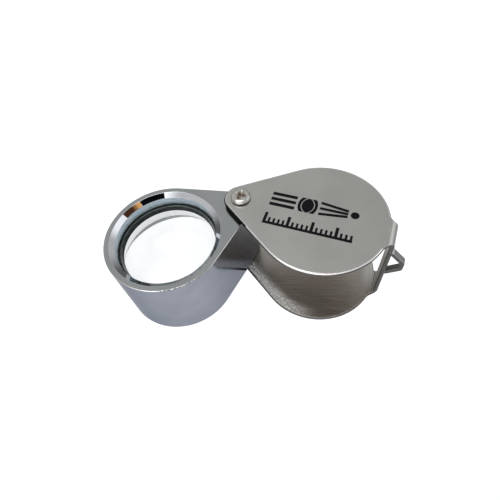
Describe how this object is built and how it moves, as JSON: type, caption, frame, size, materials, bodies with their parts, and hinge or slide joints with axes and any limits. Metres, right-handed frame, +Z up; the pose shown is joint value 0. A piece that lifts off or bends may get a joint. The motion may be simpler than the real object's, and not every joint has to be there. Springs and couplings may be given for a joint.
{
  "type": "folding viewing loupe",
  "caption": "Folding pocket loupe: a drop-shaped triplet lens body that swings on a pivot out of a bent sheet-metal cover with a lanyard loop.",
  "frame": {"origin": "centre of the cover's round end, on the underside of the bottom plate", "axes": "+X from the pivot towards the web and its lanyard loop, +Z up along the pivot and lens axes, +Y to the side away from the opened lens body"},
  "size_m": [0.0611, 0.0392, 0.0222],
  "materials": {
    "cover_steel": "satin nickel-plated sheet with bright rolled edges",
    "loop_steel": "satin",
    "post_steel": "turned",
    "screw_steel": "bright",
    "washer_nylon": "matte",
    "spring_steel": "satin",
    "body_chrome": "polished plating, softly mirrored",
    "sleeve_aluminium": "bright turned",
    "black_anodised": "black anodised",
    "crown_glass": "polished",
    "flint_glass": "polished and coated"
  },
  "bodies": {
    "cover": {"folding_cover": "cover_steel", "lanyard_loop": "loop_steel", "pivot_post": "post_steel", "pivot_screw": "screw_steel", "upper_friction_washer": "washer_nylon", "lower_friction_washer": "washer_nylon", "spring_washer": "spring_steel"},
    "lens": {"lens_body": "body_chrome", "lens_sleeve": "sleeve_aluminium", "upper_retaining_ring": "black_anodised", "lower_retaining_ring": "black_anodised", "crown_lens": "crown_glass", "upper_flint_lens": "flint_glass", "lower_flint_lens": "flint_glass"}
  },
  "joints": [
    {"name": "lens_swing", "type": "hinge", "parent": "cover", "child": "lens", "pos_m": [-0.0173, 0, 0.0105], "axis": [0, 0, 1], "continuous": true}
  ]
}
